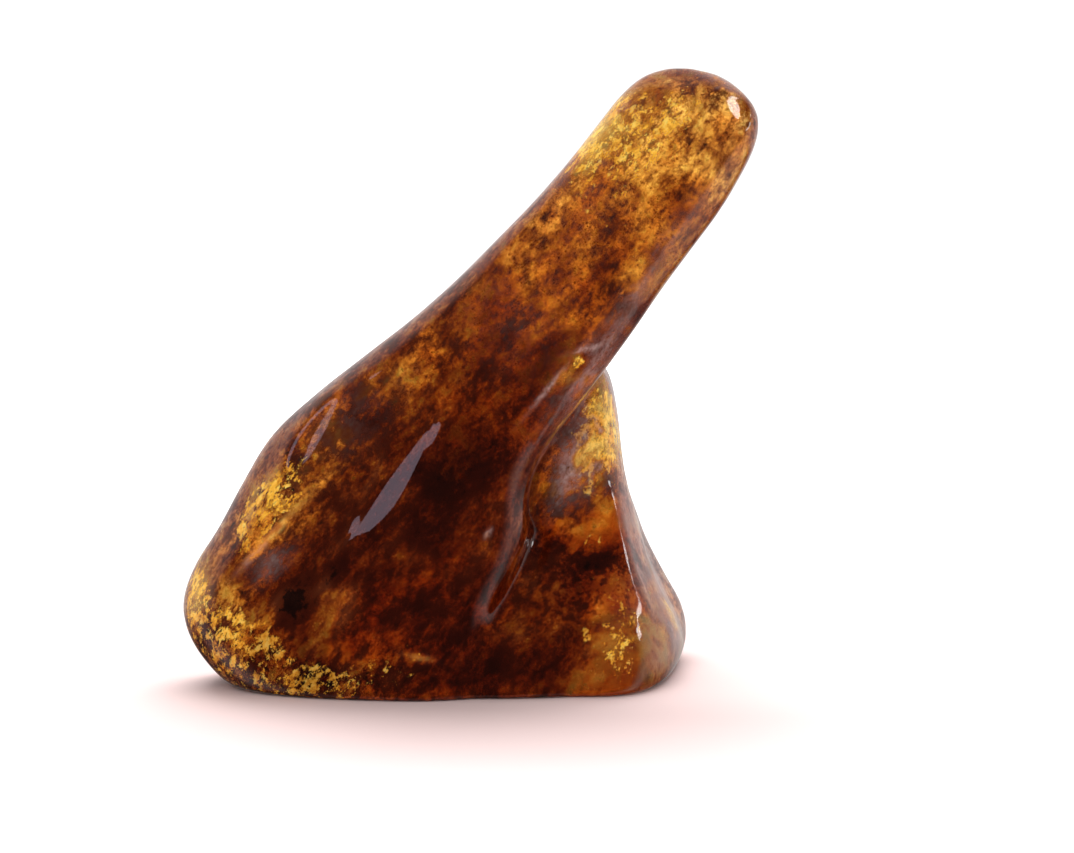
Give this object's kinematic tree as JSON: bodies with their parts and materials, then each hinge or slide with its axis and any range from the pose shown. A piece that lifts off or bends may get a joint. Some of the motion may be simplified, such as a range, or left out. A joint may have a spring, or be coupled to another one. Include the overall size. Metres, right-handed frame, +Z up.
{
  "type": "amber gemstone",
  "caption": "Polished lump of see-through brown amber with a leaning arm, a buttress behind and a flat base to stand on.",
  "frame": {"origin": "middle of the box's underside, on the surface that the stone stands on", "axes": "+Z up, +X towards the side that the arm leans to, +Y from the front face to the buttress behind"},
  "size_m": [0.056, 0.0314, 0.0601],
  "materials": {
    "amber": "polished natural resin, see-through, full of fine golden and dark brown debris"
  },
  "bodies": {
    "root": {"amber_gemstone": "amber"}
  },
  "joints": []
}
